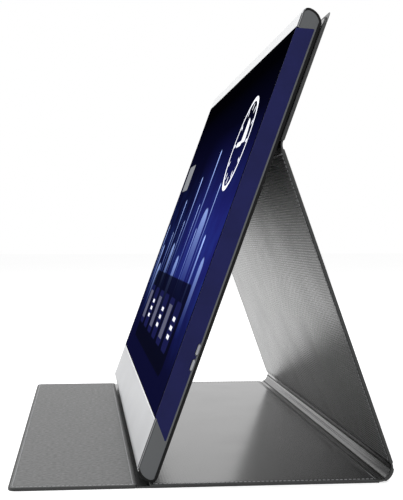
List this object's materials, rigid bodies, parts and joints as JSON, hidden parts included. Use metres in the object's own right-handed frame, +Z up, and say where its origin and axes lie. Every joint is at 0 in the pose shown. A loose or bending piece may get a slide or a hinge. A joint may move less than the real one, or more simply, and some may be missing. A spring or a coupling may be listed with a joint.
{
  "type": "portable monitor with folio stand",
  "caption": "Slim portable monitor leaning in a folded folio cover: hinged strut, base and front flap carry it; side keys press in and sockets sit on the far side.",
  "frame": {"origin": "centre of the underside of the whole, on the table", "axes": "+X along the width to the side with the keys, -Y out of the screen towards the user, +Z up"},
  "size_m": [0.363, 0.182, 0.2252],
  "materials": {
    "screen_glass": "polished, dark from behind",
    "bond": "clear adhesive sheet",
    "cell": "polished, dark",
    "diffuser": "milky",
    "light_bar": "satin",
    "chassis": "galvanised",
    "silver": "fine satin",
    "frame_grey": "satin, painted",
    "navy": "satin film",
    "black_shell": "fine grain",
    "dark_steel": "blackened",
    "board_green": "solder mask",
    "chip": "moulded",
    "zinc": "zinc plated",
    "ribbon": "film",
    "socket_steel": "bright",
    "switch": "moulded",
    "key_silver": "bright rim",
    "speaker": "moulded",
    "steel": "plain",
    "cover_skin": "fine woven grain",
    "stiff_board": "plain",
    "lining": "short pile",
    "magnet": "nickel plated"
  },
  "bodies": {
    "base": {"base_skin": "cover_skin", "base_board": "stiff_board", "base_lining": "lining", "base_magnets": "magnet", "groove_web": "cover_skin", "crease_web_base": "cover_skin"},
    "flap": {"flap_skin": "cover_skin", "flap_board": "stiff_board", "flap_lining": "lining"},
    "spine": {"spine_skin": "cover_skin", "spine_board": "stiff_board", "spine_lining": "lining", "crease_web_strut": "cover_skin"},
    "strut": {"strut_skin": "cover_skin", "strut_board": "stiff_board", "strut_lining": "lining", "crease_web_top": "cover_skin"},
    "monitor": {"front_glass": "screen_glass", "bond_sheet": "bond", "lcd_cell": "cell", "backlight": "diffuser", "light_bar": "light_bar", "rear_chassis": "chassis", "top_band": "silver", "chin": "silver", "side_frame": "frame_grey", "side_strip_right": "navy", "side_strip_left": "navy", "back_shell": "black_shell", "shell_screws": "dark_steel", "main_board": "board_green", "board_chips": "chip", "board_screws": "zinc", "display_ribbon": "ribbon", "usb_c_sockets": "socket_steel", "hdmi_socket": "socket_steel", "key_board": "board_green", "key_switches": "switch", "speaker_right": "speaker", "speaker_left": "speaker", "steel_plate": "steel", "back_skin": "cover_skin", "back_board": "stiff_board", "back_lining": "lining", "back_magnets": "magnet"},
    "power_key": {"power_key": "key_silver"},
    "menu_key": {"menu_key": "key_silver"}
  },
  "joints": [
    {"name": "flap_fold", "type": "hinge", "parent": "base", "child": "flap", "pos_m": [0, -0.03113, 0.0004], "axis": [-1, 0, 0], "range_deg": [0, 78], "deforming": ["groove_web"]},
    {"name": "case_open", "type": "hinge", "parent": "base", "child": "spine", "pos_m": [0, 0.08521, 0.00091], "axis": [-1, 0, 0], "range_deg": [0, 45], "deforming": ["crease_web_base"]},
    {"name": "strut_tip", "type": "hinge", "parent": "spine", "child": "strut", "pos_m": [0, 0.09016, 0.00792], "axis": [-1, 0, 0], "range_deg": [0, 25.2], "deforming": ["crease_web_strut"]},
    {"name": "stand_fold", "type": "hinge", "parent": "strut", "child": "monitor", "pos_m": [0, 0.0363, 0.16034], "axis": [1, 0, 0], "range_deg": [0, 36], "deforming": ["crease_web_top"]},
    {"name": "power_press", "type": "slide", "parent": "monitor", "child": "power_key", "axis": [-1, 0, 0], "range_m": [0, 0.00035], "stiffness_N_per_m": 600},
    {"name": "menu_press", "type": "slide", "parent": "monitor", "child": "menu_key", "axis": [-1, 0, 0], "range_m": [0, 0.00035], "stiffness_N_per_m": 600}
  ],
  "couplings": [
    {"joint": "strut_tip", "follows": "stand_fold", "ratio": 0.7}
  ]
}
